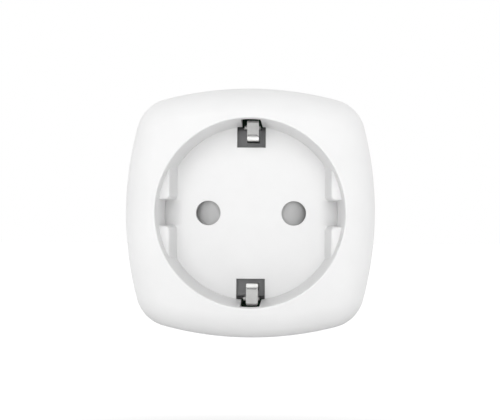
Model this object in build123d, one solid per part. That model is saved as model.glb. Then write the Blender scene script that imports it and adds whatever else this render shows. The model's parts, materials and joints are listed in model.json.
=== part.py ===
from build123d import *
import os
from math import asin, degrees, sqrt

# Plug-in power meter for round-pin mains sockets.
# Millimetres, +Z up. The plug points along +Y and the socket opens towards -Y.
# The origin is the centre of the rear face that rests against the wall socket.
# Depths are Y values: "front" is the lower Y and "back" is the higher Y.

# Body: a rounded square with bulging sides that draw in slightly towards the wall
BODY_HALF = 26.35
SIDE_RADIUS = 75.5
CORNER_RADIUS = 8.1
WALL = 2.0
RIM_Y = -43.5
WIDEST_Y = -36.0
BACK_DRAW_IN = 0.8
DOME_RADIUS = 110.0
FRONT_ROUND = 6.5
REAR_ROUND = 3.0
SEAM_Y = -6.0
SEAM_GROOVE = 0.25
LIP_DEPTH = 2.0
FIT = 0.05

# Socket recess in the front face
RIM_RADIUS = 19.67
RIM_ROUND = 0.3
FLOOR_RADIUS = 19.28
RECESS_DEPTH = 17.5
FLOOR_THICKNESS = 2.5
CUP_WALL = 1.5
EAR_FLAT = 16.4
EAR_DROP = 6.0
EAR_LEAN = 3.5
EAR_EDGE_ROUND = 0.4
NOTCH_WIDTH = 5.55
NOTCH_ROUND = 1.0
NOTCH_HOLLOW_START = 15.3
NOTCH_HOLLOW_RADIUS = 6.0
NOTCH_HOLLOW_DEPTH = 1.6
PIN_SPACING = 19.0
PIN_HOLE_RADIUS = 2.74
WINDOW_WIDTH = 6.34
WINDOW_INNER = 14.55
WINDOW_OUTER = 19.27
SLOT_WIDTH = 4.1
SLOT_FLARE = 0.5
SLOT_DROP = 2.6

# Plug boss, pins and wall socket contacts
BOSS_RADIUS = 18.8
BOSS_FLAT = 16.1
BOSS_DEPTH = 17.0
BOSS_FACE = 3.0
BOSS_WALL = 2.0
BOSS_RIB_WIDTH = 5.3
BOSS_RIB_START = 4.0
BOSS_ROUND = 0.8
PIN_RADIUS = 2.4
PIN_LENGTH = 19.0
PIN_TIP_ROUND = 1.6
PIN_NECK_RADIUS = 1.9
PIN_COLLAR_RADIUS = 3.6
PIN_COLLAR = 2.0
PIN_SHANK_RADIUS = 1.6
PIN_TAIL_RADIUS = 0.9
EARTH_HOLE_RADIUS = 2.8
EARTH_TUBE_RADIUS = 2.5
EARTH_TUBE_WALL = 0.7
EARTH_HOLE_Z = 10.0
EARTH_TUBE_SLIT = 0.7
SIDE_CONTACT_Z = 17.0
SIDE_CHANNEL_START = 0.8
SIDE_CONTACT_WIDTH = 5.4
STRIP = 0.8
STRAP_END = 1.0
STRAP_FORK_Y = -13.5
STRAP_BEND_Y = -16.5
STRAP_BEND_ROUND = 0.9
EARTH_BAR_WIDTH = 5.0
EARTH_BAR_BACK = -0.4
LABEL = dict(x=0, z=-9.0, width=15.0, height=6.0)
LABEL_THICKNESS = 0.15

# Earth tongues: a strip runs forward, steps outwards and leans out to its tip
TONGUE = 0.6
TONGUE_WIDTH = 2.5
TONGUE_SHIFT = 0.45
TONGUE_PIVOT_Y = -21.9
TONGUE_PIVOT_Z = 16.55
TONGUE_STEP = [(-35.0, 15.61), (-35.1, 16.18)]
TONGUE_TIP = (-38.0, 19.3)
TONGUE_RISE = 0.23
TONGUE_BEND_ROUND = 0.45
TONGUE_CORNER = 0.4
HEEL_LOW = 15.31
HEEL_FRONT = -35.36
HEEL_CORNER = 0.25
CREASE_LOW = 16.23
CREASE_WIDTH = 0.28
CREASE_BOTTOM = -35.3
CREASE_LEFT = 0.15
CREASE_RIGHT = 0.45
SHOULDER_Z = 19.1
SHOULDER_Y = -24.6
SHOULDER_ROUND = 0.35
SHOULDER_LEFT = -1.6
SHOULDER_RIGHT = 1.95

# Shutter behind the pin holes, with its carrier
SHUTTER_FRONT = -23.2
SHUTTER_BACK = -21.4
SHUTTER_PAD_RADIUS = 3.5
SHUTTER_HUB_RADIUS = 3.4
SHUTTER_ARM_WIDTH = 3.2
SHUTTER_BORE_RADIUS = 1.6
STUD_RADIUS = 1.55
CAM_REACH = 5.0
CAM_RADIUS = 0.9
CAM_ANGLE = 60.0
PAD_CURVE = 6.0
PAD_CURVE_START = 8.4
SPRING_POINTS = [(-8.0, 9.7), (-8.0, 7.6), (3.4, 5.25)]
SPRING_ROUND = 0.8
SPRING_THICKNESS = 0.3
SPRING_FRONT = -22.9
SPRING_BACK = -21.7
ANCHOR_WIDTH = 1.25
CARRIER_FRONT = -21.1
CARRIER_BACK = -19.5
CAGE_BACK = -7.4
CAGE_HALF_X = 4.3
CAGE_HALF_Z = 4.5
CAGE_WALL = 0.9
CAGE_HOLE_RADIUS = 2.85
EARTH_PAD_FRONT = -23.3
EARTH_PAD_WIDTH = 6.8
EARTH_PAD_LOW = 14.0
EARTH_PAD_HIGH = 18.5
EARTH_ARM_REACH = 19.3
TONGUE_SLOT_LOW = 15.7
TONGUE_SLOT_HIGH = 17.3
TONGUE_SLOT_SPARE = 0.15
SHOULDER_SLOT_LOW = 18.6

# Female contacts: leaves that narrow to a throat and flare at the mouth
LEAF_POINTS = [(-8.3, 3.2), (-9.5, 3.2), (-14.8, 2.8), (-17.0, 2.8), (-19.0, 3.25)]
LEAF_THICKNESS = 0.6
LEAF_ROUND = 0.5
LEAF_WIDTH = 5.2
LEAF_FOOT_BACK = -8.0
LEAF_FOOT_HALF_Z = 3.5
TAIL_WIDTH = 3.0
TAIL_Z = 2.7

# Circuit board and housing fixings
BOARD_FRONT = -5.5
BOARD = 1.6
BOARD_BACK = BOARD_FRONT + BOARD
BOARD_INSET = 3.2
BOARD_GAP = 0.4
POST_XZ = 17.6
POST_RADIUS = 2.6
POST_FRONT = -39.5
REAR_POST_RADIUS = 3.4
BOARD_POSTS = [(-20.4, 9.0), (20.4, -9.0)]
BOARD_POST_RADIUS = 2.2
SCREW_RADIUS = 1.4
SCREW_HEAD_RADIUS = 2.5
SCREW_HEAD = 1.8
SCREW_HEAD_DEPTH = 3.0
SCREW_TIP = -16.0
SCREW_CLEARANCE = 0.15
PILOT_SPARE = 1.0
BOARD_SCREW_RADIUS = 1.0
BOARD_SCREW_HEAD_RADIUS = 1.9
BOARD_SCREW_HEAD = 1.2
BOARD_SCREW_TIP = -1.6
PILOT_CLEARANCE = 0.15

# Push button on the right-hand side, with its switch, lamp and light pipe
BUTTON_Y = -12.6
BUTTON_RADIUS = 3.4
BUTTON_GAP = 0.12
BUTTON_RECESS = 0.1
BUTTON_HOLE_LEFT = 22.9
BUTTON_FLANGE = 0.8
BUTTON_STEM_RADIUS = 1.2
SWITCH_LEFT_X = 17.2
SWITCH_RIGHT_X = 20.8
PLUNGER_RADIUS = 1.4
PLUNGER_RIGHT_X = 21.9
PLUNGER_LEFT_X = 20.0
PRESS = 0.45
PIPE_Z = 8.4
PIPE_RADIUS = 1.0
PIPE_BEND_X = 20.4
LED_HEIGHT = 1.1
LED_WIDTH = 1.6
LED_LENGTH = 2.0
BUTTON_FLANGE_RIM = 0.7
BUTTON_FLANGE_GAP = 0.25
BUTTON_DISH_RADIUS = 16.0
BUTTON_DISH_DEPTH = 0.3
SWITCH_HALF = 3.0
SWITCH_BRACKET = 1.2

# Relay, standing on the board in the upper right
RELAY_X = 8.8
RELAY_Z = 13.6
RELAY_WIDTH = 10.0
RELAY_LENGTH = 17.0
RELAY_HEIGHT = 15.0
RELAY_WALL = 0.8
RELAY_BASE = 1.2
RELAY_STANDOFF = 0.2
RELAY_ROUND = 0.6
COIL_RADIUS = 3.0
COIL_LENGTH = 7.0
COIL_Z = 17.0
BOBBIN = 0.6
BOBBIN_WIDTH = 7.0
BOBBIN_LENGTH = 6.6
CORE_RADIUS = 1.3
CORE_PROUD = 0.5
YOKE = 1.1
ARMATURE = 1.0
ARMATURE_GAP = 0.5
CONTACT_GAP = 0.5
HINGE_Z = 12.85
FIXED_TERMINAL_Z = 6.4
MOVING_TERMINAL_Z = 10.6
TERMINAL_WIDTH = 3.2
CONTACT_RADIUS = 0.8
CONTACT_HEIGHT = 0.7
YOKE_WIDTH = 6.4
YOKE_LENGTH = 8.0
ARMATURE_WIDTH = 6.0
ARMATURE_REACH = 6.7
ARM_WIDTH = 3.0
ARM_REACH = 5.55
ARM_THICKNESS = 0.4

# Smaller components, each by the point of the board it stands on
LEG_RADIUS = 0.35
FILTER_CAPACITOR = dict(x=-11.3, z=13.0, width=5.2, length=12.0, height=10.5, rounding=0.5)
SMOOTHING_CAPACITOR = dict(radius=2.6, height=10.5, rounding=0.4)
SMOOTHING_CAPACITORS = [(-7.2, -9.2), (-7.2, -15.2)]
VARISTOR_X = -5.9
VARISTOR_Z = 11.6
VARISTOR_LIFT = 5.6
VARISTOR_RADIUS = 5.0
VARISTOR_THICKNESS = 3.0
VARISTOR_ROUND = 0.8
VARISTOR_LEG_SPREAD = 4.4
CHOKE_X = -14.6
CHOKE_Z = -8.6
CHOKE_HEIGHT = 8.0
CHOKE_FLANGE = 1.2
CHOKE_FLANGE_RADIUS = 3.2
CHOKE_RADIUS = 2.4
RESISTOR_X = -19.0
RESISTOR_LIFT = 2.2
RESISTOR_RADIUS = 1.6
RESISTOR_LENGTH = 7.5
RESISTOR_LEG_SPREAD = 10.8
SHUNT_LEFT = 11.0
SHUNT_Z = -11.6
SHUNT_HALF_SPAN = 3.6
SHUNT_HEIGHT = 3.5
SHUNT_ROUND = 1.0
METERING_CHIP = dict(x=5.6, z=-10.4, width=4.0, length=5.2, height=1.6, legs=8)
BRIDGE_RECTIFIER = dict(x=-16.9, z=13.0, width=3.0, length=3.6, height=1.9, legs=2)
REGULATOR_CHIP = dict(x=-12.7, z=-14.5, width=3.0, length=4.0, height=1.6, legs=4)
CHIP_LEG_REACH = 0.9
CHIP_LEG_THICKNESS = 0.35
CHIP_STANDOFF = 0.15
RADIO_LEFT = 3.9
RADIO_WIDTH = 13.0
RADIO_FRONT = -19.0
RADIO_LOW = -21.2
RADIO_THICKNESS = 1.0
RADIO_TOP = RADIO_LOW + RADIO_THICKNESS
SHIELD_WIDTH = 8.4
SHIELD_HEIGHT = 1.8
SHIELD_FRONT = -15.6
SHIELD_BACK = -7.2
SHIELD_ROUND = 0.3
TRACK = 0.3
TRACK_THICKNESS = 0.1
TRACK_TURNS = 5
TRACK_PITCH = 2.2
TRACK_REACH = 2.0

PIN_X = PIN_SPACING / 2
FLOOR_Y = RIM_Y + RECESS_DEPTH
FLOOR_BACK = FLOOR_Y + FLOOR_THICKNESS
CUP_RADIUS = RIM_RADIUS + CUP_WALL
PIN_TIP_Y = BOSS_DEPTH + PIN_LENGTH
DRAW_IN_PER_MM = BACK_DRAW_IN / -WIDEST_Y
DRAFT = degrees(asin(DRAW_IN_PER_MM))
SIDE_CENTRE = SIDE_RADIUS - BODY_HALF
CORNER_REACH = SIDE_RADIUS - CORNER_RADIUS
# The corner arc's centre, where it meets the bulging side without a kink
CORNER_CENTRE = (sqrt(2 * CORNER_REACH**2 - SIDE_CENTRE**2) - SIDE_CENTRE) / 2
DOME_CENTRE_Y = RIM_Y + sqrt(DOME_RADIUS**2 - RIM_RADIUS**2)
BIG = 60.0
TONGUE_LEFT = TONGUE_SHIFT - TONGUE_WIDTH / 2
RELAY_BACK = BOARD_FRONT - RELAY_STANDOFF
RELAY_BASE_FRONT = RELAY_BACK - RELAY_BASE
COIL_BACK = RELAY_BASE_FRONT - YOKE - 2 * FIT
COIL_FRONT = COIL_BACK - COIL_LENGTH
ARMATURE_BACK = COIL_FRONT - CORE_PROUD - ARMATURE_GAP


def slab(sketch, front, back):
    """A flat shape drawn in X and Z, made solid between two depths."""
    return extrude(Plane.XZ.offset(-back) * sketch, amount=back - front)


def block(left, right, front, back, low, high):
    """A rectangular block between two limits on each axis."""
    middle = Pos((left + right) / 2, (front + back) / 2, (low + high) / 2)
    return middle * Box(right - left, back - front, high - low)


def centred_block(x, z, width, height, front, back):
    """A rectangular block centred on a point of the board."""
    return block(x - width / 2, x + width / 2, front, back, z - height / 2, z + height / 2)


def rod(x, z, radius, front, back):
    """A round rod along Y."""
    return slab(Pos(x, z) * Circle(radius), front, back)


def rod_x(y, z, radius, left, right):
    """A round rod along X."""
    return Pos((left + right) / 2, y, z) * Rot(0, 90, 0) * Cylinder(radius, right - left)


def ribbon(points, radius, thickness):
    """Edge-on outline of a strip of sheet, bent along a line of points."""
    line = [Vector(*point) for point in points]
    runs = [(end - start).normalized() for start, end in zip(line, line[1:])]
    across = [Vector(-run.Y, run.X) for run in runs]
    edges = []
    for side in (thickness / 2, -thickness / 2):
        places = [line[0] + across[0] * side]
        radii = []
        for point, before, after in zip(line[1:], across, across[1:]):
            places.append(point + (before + after) * (side / (1 + before.dot(after))))
            turns_left = before.cross(after).Z > 0
            radii.append(radius - side if turns_left else radius + side)
        places.append(line[-1] + across[-1] * side)
        edges.append(FilletPolyline(*places, radius=radii) if radii else Polyline(*places))
    ends = [Line(edges[0] @ end, edges[1] @ end) for end in (0, 1)]
    return make_face([*edges[0].edges(), *edges[1].edges(), *ends])


def strip(points, radius, thickness, left, right):
    """Sheet metal bent along points in Y and Z, between two X limits."""
    return extrude(Plane.YZ.offset(left) * ribbon(points, radius, thickness), amount=right - left)


def below(solid):
    """The same solid turned over to the lower half."""
    return mirror(solid, Plane.XY)


def outline(inset):
    """The body's rounded square, drawn inset from its widest outline."""
    along = CORNER_CENTRE / CORNER_REACH * (SIDE_RADIUS - inset)
    out = sqrt((SIDE_RADIUS - inset) ** 2 - along**2) - SIDE_CENTRE
    corner = CORNER_CENTRE + (CORNER_RADIUS - inset) / sqrt(2)
    side_arc = ThreePointArc((-along, out), (0, BODY_HALF - inset), (along, out))
    corner_arc = ThreePointArc((along, out), (corner, corner), (out, along))
    turns = [Rot(0, 0, -90 * turn) for turn in range(4)]
    return make_face([turn * arc for turn in turns for arc in (side_arc, corner_arc)])


def wall_inset(y):
    """How far the body's outer wall is inset at a depth."""
    return BACK_DRAW_IN + y * DRAW_IN_PER_MM


def body_block(inset, back, rear_round):
    """The body's outer form, or its hollow, as one solid."""
    foot = Plane.XZ.offset(-back) * outline(inset + wall_inset(back))
    form = extrude(foot, amount=BIG, taper=-DRAFT)
    form = form & Pos(0, DOME_CENTRE_Y, 0) * Sphere(DOME_RADIUS - inset)
    front_edges = form.edges().filter_by(lambda edge: edge.center().Y < WIDEST_Y)
    form = fillet(front_edges, FRONT_ROUND - inset)
    if rear_round:
        form = fillet(form.edges().group_by(Axis.Y)[-1], rear_round)
    return form


def corners(offset):
    """The four corner points of a square."""
    return [(x, z) for x in (-offset, offset) for z in (-offset, offset)]


def guide_ear(side):
    """One pair of flats beside the key notch, on the left or right wall of the recess."""
    reach = FLOOR_RADIUS + CUP_WALL / 2
    height = RECESS_DEPTH - EAR_DROP
    flat = Pos(side * EAR_FLAT, FLOOR_Y, 0) * Rot(0, 0, side * EAR_LEAN)
    beyond_flat = flat * Pos(side * BIG / 2, 0, 0) * Box(BIG, BIG, BIG)
    ear = slab(Circle(reach), FLOOR_Y - height, FLOOR_Y) & beyond_flat
    ear -= centred_block(0, 0, BIG, NOTCH_WIDTH, -BIG, BIG)
    upright = ear.edges().filter_by(lambda edge: edge.length > height and abs(edge.center().Z) < NOTCH_WIDTH)
    ear = fillet(upright.sort_by(lambda edge: abs(edge.center().X))[:2], NOTCH_ROUND)
    # Every top edge is rounded but the long arc, which lies inside the recess wall
    top_edges = ear.edges().group_by(Axis.Y)[0]
    outer_arc = top_edges.filter_by(GeomType.CIRCLE).sort_by(Edge.length)[-2:]
    return fillet([edge for edge in top_edges if edge not in outer_arc], EAR_EDGE_ROUND)


def notch_hollow(side):
    """The dip in the floor of a key notch, which curves down to the recess wall."""
    half = NOTCH_WIDTH / 2
    dip_back = FLOOR_Y + NOTCH_HOLLOW_DEPTH
    dip = block(NOTCH_HOLLOW_START, FLOOR_RADIUS, FLOOR_Y - FIT, dip_back, -half, half)
    below_dip = Pos(NOTCH_HOLLOW_START, FLOOR_Y + NOTCH_HOLLOW_RADIUS, 0)
    dip -= below_dip * Cylinder(NOTCH_HOLLOW_RADIUS, NOTCH_WIDTH)
    dip &= slab(Circle(FLOOR_RADIUS), FLOOR_Y - FIT, dip_back)
    return dip if side > 0 else mirror(dip, Plane.YZ)


def earth_window():
    """The upper opening for an earth tongue: a window in the floor and a slot in the wall."""
    half = WINDOW_WIDTH / 2
    window = block(-half, half, FLOOR_Y - FIT, FLOOR_BACK + FIT, WINDOW_INNER, WINDOW_OUTER)
    slot_half = SLOT_WIDTH / 2
    slot_front = RIM_Y + SLOT_DROP
    slot_back = FLOOR_BACK + FIT
    narrow = [(-slot_half, slot_back), (-slot_half, slot_front), (slot_half, slot_front)]
    slot = make_face(Polyline(*narrow, (slot_half + SLOT_FLARE, slot_back), close=True))
    return window + Pos(0, 0, WINDOW_OUTER - 1) * extrude(slot, amount=CUP_RADIUS + 2 - WINDOW_OUTER)


def seam_edges(shell, end):
    """The outer edges of a shell's face on the seam."""
    return shell.faces().filter_by(Axis.Y).sort_by(Axis.Y)[end].outer_wire().edges()


def front_shell(body, hollow):
    """Front half of the shell, thinned inside to take the rear half's lip."""
    shell = (body - hollow) & slab(Rectangle(2 * BIG, 2 * BIG), -BIG, SEAM_Y)
    shell -= slab(outline(WALL / 2 + wall_inset(SEAM_Y)), SEAM_Y - LIP_DEPTH - FIT, SEAM_Y)
    return chamfer(seam_edges(shell, -1), SEAM_GROOVE)


def recess():
    """The space of the socket recess, slightly wider at its rim."""
    draft = degrees(asin((RIM_RADIUS - FLOOR_RADIUS) / RECESS_DEPTH))
    return extrude(Plane.XZ.offset(-FLOOR_Y) * Circle(FLOOR_RADIUS), amount=BIG, taper=-draft)


def spring_anchor():
    """Block on the back of the recess floor that the shutter spring leans on."""
    right = SPRING_POINTS[0][0] - SPRING_THICKNESS / 2
    low = SPRING_POINTS[1][1]
    return block(right - ANCHOR_WIDTH, right, FLOOR_BACK - FIT, CARRIER_FRONT - FIT, low, SPRING_POINTS[0][1])


def front_housing(body, hollow):
    """Front shell with the recess, its cup, the screw posts and the button hole."""
    shell = front_shell(body, hollow)
    shell += slab(Circle(CUP_RADIUS), -BIG, FLOOR_BACK) & body
    for x, z in corners(POST_XZ):
        shell += rod(x, z, POST_RADIUS, POST_FRONT, BOARD_FRONT)
        shell -= rod(x, z, SCREW_RADIUS, SCREW_TIP - PILOT_SPARE, BOARD_FRONT + FIT)
    shell -= recess()
    shell = fillet(shell.edges().filter_by(GeomType.CIRCLE).sort_by(Axis.Y)[0], RIM_ROUND)
    for side in (-1, 1):
        shell += guide_ear(side)
        shell -= notch_hollow(side)
        shell -= rod(side * PIN_X, 0, PIN_HOLE_RADIUS, FLOOR_Y - FIT, FLOOR_BACK + FIT)
    window = earth_window()
    shell -= window
    shell -= below(window)
    shell += rod(0, 0, STUD_RADIUS, FLOOR_BACK - FIT, CARRIER_FRONT - FIT)
    shell += spring_anchor()
    shell -= rod_x(BUTTON_Y, 0, BUTTON_RADIUS + BUTTON_GAP, BUTTON_HOLE_LEFT, BIG)
    return shell - rod_x(BUTTON_Y, PIPE_Z, PIPE_RADIUS, BUTTON_HOLE_LEFT, BIG)


def boss_outline(radius, flat):
    """A circle cut flat on the left and right."""
    return Circle(radius) & Rectangle(2 * flat, 2 * radius)


def plug_boss():
    """Solid form of the plug boss, with the rib that enters a socket's key notches."""
    boss = slab(boss_outline(BOSS_RADIUS, BOSS_FLAT), -WALL, BOSS_DEPTH)
    rib = slab(Rectangle(2 * BOSS_RADIUS, BOSS_RIB_WIDTH), BOSS_RIB_START, BOSS_DEPTH)
    boss += rib & slab(Circle(BOSS_RADIUS), -WALL, BOSS_DEPTH)
    return fillet(boss.faces().sort_by(Axis.Y)[-1].edges(), BOSS_ROUND)


def side_channel():
    """Upper channel of a side contact: open along the boss, closed where it passes the rear wall."""
    half = SIDE_CONTACT_WIDTH / 2 + FIT
    low = SIDE_CONTACT_Z - STRIP / 2
    channel = block(-half, half, SIDE_CHANNEL_START, BOSS_DEPTH + 1, low, BOSS_RADIUS + 1)
    return channel + block(-half, half, -WALL - FIT, SIDE_CHANNEL_START, low, low + STRIP)


def rear_housing(body, hollow):
    """Back shell with the seam lip, the plug boss and the screw posts."""
    shell = (body - hollow) & slab(Rectangle(2 * BIG, 2 * BIG), SEAM_Y, BIG)
    shell = chamfer(seam_edges(shell, 0), SEAM_GROOVE)
    seam_inset = wall_inset(SEAM_Y)
    lip = outline(WALL / 2 + FIT + seam_inset) - outline(WALL + seam_inset)
    shell += slab(lip, SEAM_Y - LIP_DEPTH, SEAM_Y + FIT)
    shell += plug_boss()
    room = boss_outline(BOSS_RADIUS - BOSS_WALL, BOSS_FLAT - BOSS_WALL)
    shell -= slab(room, -WALL - FIT, BOSS_DEPTH - BOSS_FACE)
    channel = side_channel()
    shell -= channel
    shell -= below(channel)
    for x in (-PIN_X, PIN_X):
        shell -= rod(x, 0, PIN_NECK_RADIUS, 0, BOSS_DEPTH + FIT)
    shell -= rod(0, EARTH_HOLE_Z, EARTH_HOLE_RADIUS, 0, BOSS_DEPTH + FIT)
    shell -= rating_label()
    for x, z in corners(POST_XZ):
        shell += rod(x, z, REAR_POST_RADIUS, BOARD_FRONT + FIT, -WALL + FIT)
        shell -= rod(x, z, SCREW_RADIUS + SCREW_CLEARANCE, BOARD_FRONT, 0)
        shell -= rod(x, z, SCREW_HEAD_RADIUS + SCREW_CLEARANCE, -SCREW_HEAD_DEPTH, FIT)
    for x, z in BOARD_POSTS:
        shell += rod(x, z, BOARD_POST_RADIUS, BOARD_BACK, -WALL + FIT)
        shell -= rod(x, z, BOARD_SCREW_RADIUS, BOARD_BACK - FIT, BOARD_SCREW_TIP)
    return shell


def rating_label():
    """Blank foil let into the end face of the boss."""
    return centred_block(front=BOSS_DEPTH - LABEL_THICKNESS, back=BOSS_DEPTH, **LABEL)


def plug_pin(x):
    """Round pin with a domed tip, a collar behind the boss face and a tail to the board."""
    face_back = BOSS_DEPTH - BOSS_FACE
    pin = rod(x, 0, PIN_RADIUS, BOSS_DEPTH, PIN_TIP_Y)
    pin = fillet(pin.edges().sort_by(Axis.Y)[-1], PIN_TIP_ROUND)
    pin += rod(x, 0, PIN_NECK_RADIUS, face_back, BOSS_DEPTH)
    pin += rod(x, 0, PIN_COLLAR_RADIUS, face_back - PIN_COLLAR, face_back)
    pin += rod(x, 0, PIN_SHANK_RADIUS, BOARD_BACK, face_back - PIN_COLLAR)
    return pin + rod(x, 0, PIN_TAIL_RADIUS, BOARD_FRONT - PIN_TAIL_RADIUS, BOARD_BACK)


def earth_strap():
    """Upper earth strap, from the boss side contact to the tongue's root and its shoulders."""
    half = SIDE_CONTACT_WIDTH / 2
    low = SIDE_CONTACT_Z - STRIP / 2
    strap = block(-half, half, STRAP_FORK_Y - STRIP / 2, BOSS_DEPTH - STRAP_END, low, low + STRIP)
    fork = [(STRAP_FORK_Y, SIDE_CONTACT_Z), (STRAP_BEND_Y, SIDE_CONTACT_Z)]
    shoulder = [(STRAP_BEND_Y - (SHOULDER_Z - SIDE_CONTACT_Z), SHOULDER_Z), (SHOULDER_Y, SHOULDER_Z)]
    root_bend_y = STRAP_BEND_Y - 2 * (SIDE_CONTACT_Z - TONGUE_PIVOT_Z)
    root = [(root_bend_y, TONGUE_PIVOT_Z), (TONGUE_PIVOT_Y + TONGUE / 2 + FIT, TONGUE_PIVOT_Z)]
    shoulders = strip(fork + shoulder, STRAP_BEND_ROUND, STRIP, SHOULDER_LEFT, SHOULDER_RIGHT)
    strap += fillet(shoulders.faces().sort_by(Axis.Y)[0].edges().filter_by(Axis.X), SHOULDER_ROUND)
    return strap + strip(fork + root, STRAP_BEND_ROUND, STRIP, TONGUE_LEFT, TONGUE_LEFT + TONGUE_WIDTH)


def earth_tongue(rise):
    """Upper earth tongue, which bends outwards about its root as a plug goes in.

    The rise moves its step outwards, because the two tongues are never bent quite alike.
    """
    step = [(y, z + rise) for y, z in TONGUE_STEP]
    points = [(TONGUE_PIVOT_Y, TONGUE_PIVOT_Z), *step, TONGUE_TIP]
    blade = strip(points, TONGUE_BEND_ROUND, TONGUE, TONGUE_LEFT, TONGUE_LEFT + TONGUE_WIDTH)
    tip_edges = blade.edges().filter_by(
        lambda edge: abs(edge.length - TONGUE) < FIT and edge.center().Y < step[0][0]
    )
    blade = fillet(tip_edges, TONGUE_CORNER)
    right = TONGUE_LEFT + TONGUE_WIDTH
    heel_low = HEEL_LOW + rise
    heel = block(TONGUE_LEFT, right, HEEL_FRONT, HEEL_FRONT + TONGUE, heel_low, heel_low + TONGUE)
    blade += fillet(heel.edges().filter_by(Axis.Y).group_by(Axis.Z)[0], HEEL_CORNER)
    crease_low = CREASE_LOW + rise
    crease_high = crease_low + CREASE_WIDTH
    crease_left = TONGUE_LEFT + CREASE_LEFT
    blade -= block(crease_left, right - CREASE_RIGHT, TONGUE_TIP[0], CREASE_BOTTOM, crease_low, crease_high)
    return blade + rod_x(TONGUE_PIVOT_Y, TONGUE_PIVOT_Z, TONGUE / 2, TONGUE_LEFT, TONGUE_LEFT + TONGUE_WIDTH)


def earth_bar():
    """Bar that links both earth straps behind the board."""
    reach = SIDE_CONTACT_Z - STRIP / 2
    half = EARTH_BAR_WIDTH / 2
    return block(-half, half, EARTH_BAR_BACK - STRIP, EARTH_BAR_BACK, -reach, reach)


def earth_tube():
    """Split tube that grips a wall socket's earth pin."""
    face_back = BOSS_DEPTH - BOSS_FACE
    tube = rod(0, EARTH_HOLE_Z, EARTH_TUBE_RADIUS + EARTH_TUBE_WALL, EARTH_BAR_BACK, face_back)
    tube -= rod(0, EARTH_HOLE_Z, EARTH_TUBE_RADIUS, EARTH_BAR_BACK + STRIP, BOSS_DEPTH)
    half = EARTH_TUBE_SLIT / 2
    slit_front = EARTH_BAR_BACK + 2 * EARTH_TUBE_RADIUS
    slit_high = EARTH_HOLE_Z + 2 * EARTH_TUBE_RADIUS
    return tube - block(-half, half, slit_front, BOSS_DEPTH, EARTH_HOLE_Z, slit_high)


def shutter_slope():
    """What is cut away to curve the left pad back from its pin hole on the outer side."""
    axis = Pos(-PAD_CURVE_START, SHUTTER_FRONT + PAD_CURVE)
    corner = axis * Pos(-PAD_CURVE / 2, -PAD_CURVE / 2) * Rectangle(PAD_CURVE, PAD_CURVE)
    return extrude(corner - axis * Circle(PAD_CURVE), amount=SHUTTER_PAD_RADIUS, both=True)


def shutter():
    """Turning shutter: a curved pad over each pin hole, a hub on the stud and a cam for the spring."""
    cam = Rot(0, 0, CAM_ANGLE) * Pos(CAM_REACH, 0)
    face = Circle(SHUTTER_HUB_RADIUS) + Rectangle(PIN_SPACING, SHUTTER_ARM_WIDTH)
    for x in (-PIN_X, PIN_X):
        face += Pos(x, 0) * Circle(SHUTTER_PAD_RADIUS)
    face += cam * Circle(CAM_RADIUS)
    face += cam * Pos(-CAM_REACH / 2, 0) * Rectangle(CAM_REACH, 2 * CAM_RADIUS)
    plate = slab(face - Circle(SHUTTER_BORE_RADIUS), SHUTTER_FRONT, SHUTTER_BACK)
    slope = shutter_slope()
    return plate - slope - mirror(slope, Plane.YZ)


def shutter_spring():
    """Leaf spring that holds the shutter closed."""
    return slab(ribbon(SPRING_POINTS, SPRING_ROUND, SPRING_THICKNESS), SPRING_FRONT, SPRING_BACK)


def contact_cage(x):
    """Box around one female contact, with a hole for the pin in its front wall."""
    cage = centred_block(x, 0, 2 * CAGE_HALF_X, 2 * CAGE_HALF_Z, CARRIER_FRONT, CAGE_BACK)
    width = 2 * (CAGE_HALF_X - CAGE_WALL)
    height = 2 * (CAGE_HALF_Z - CAGE_WALL)
    cage -= centred_block(x, 0, width, height, CARRIER_BACK, CAGE_BACK + FIT)
    return cage - rod(x, 0, CAGE_HOLE_RADIUS, CARRIER_FRONT - FIT, CARRIER_BACK + FIT)


def contact_carrier():
    """Dark moulding that carries both contact cages and shows through the earth windows."""
    gap = PIN_SPACING - 2 * CAGE_HALF_X
    carrier = centred_block(0, 0, gap, 2 * CAGE_HALF_Z, CARRIER_FRONT, CARRIER_BACK)
    carrier += contact_cage(-PIN_X) + contact_cage(PIN_X)
    half = EARTH_PAD_WIDTH / 2
    arm = block(-half, half, CARRIER_FRONT, CARRIER_BACK, 0, EARTH_ARM_REACH)
    arm += block(-half, half, EARTH_PAD_FRONT, CARRIER_FRONT, EARTH_PAD_LOW, EARTH_PAD_HIGH)
    front = EARTH_PAD_FRONT - FIT
    back = CARRIER_BACK + FIT
    side = TONGUE_SLOT_SPARE
    left = TONGUE_LEFT - side
    arm -= block(left, left + TONGUE_WIDTH + 2 * side, front, back, TONGUE_SLOT_LOW, TONGUE_SLOT_HIGH)
    arm -= block(SHOULDER_LEFT - side, SHOULDER_RIGHT + side, front, back, SHOULDER_SLOT_LOW, BIG)
    return carrier + arm + below(arm)


def socket_contact(x):
    """Female contact: two sprung leaves that grip a pin, on a foot soldered to the board."""
    left = x - LEAF_WIDTH / 2
    leaf = strip(LEAF_POINTS, LEAF_ROUND, LEAF_THICKNESS, left, left + LEAF_WIDTH)
    foot_front = LEAF_FOOT_BACK - LEAF_THICKNESS
    foot = block(left, left + LEAF_WIDTH, foot_front, LEAF_FOOT_BACK, -LEAF_FOOT_HALF_Z, LEAF_FOOT_HALF_Z)
    tail = centred_block(x, TAIL_Z, TAIL_WIDTH, LEAF_THICKNESS, LEAF_FOOT_BACK, BOARD_BACK + LEAF_THICKNESS)
    return leaf + below(leaf) + foot + tail


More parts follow.
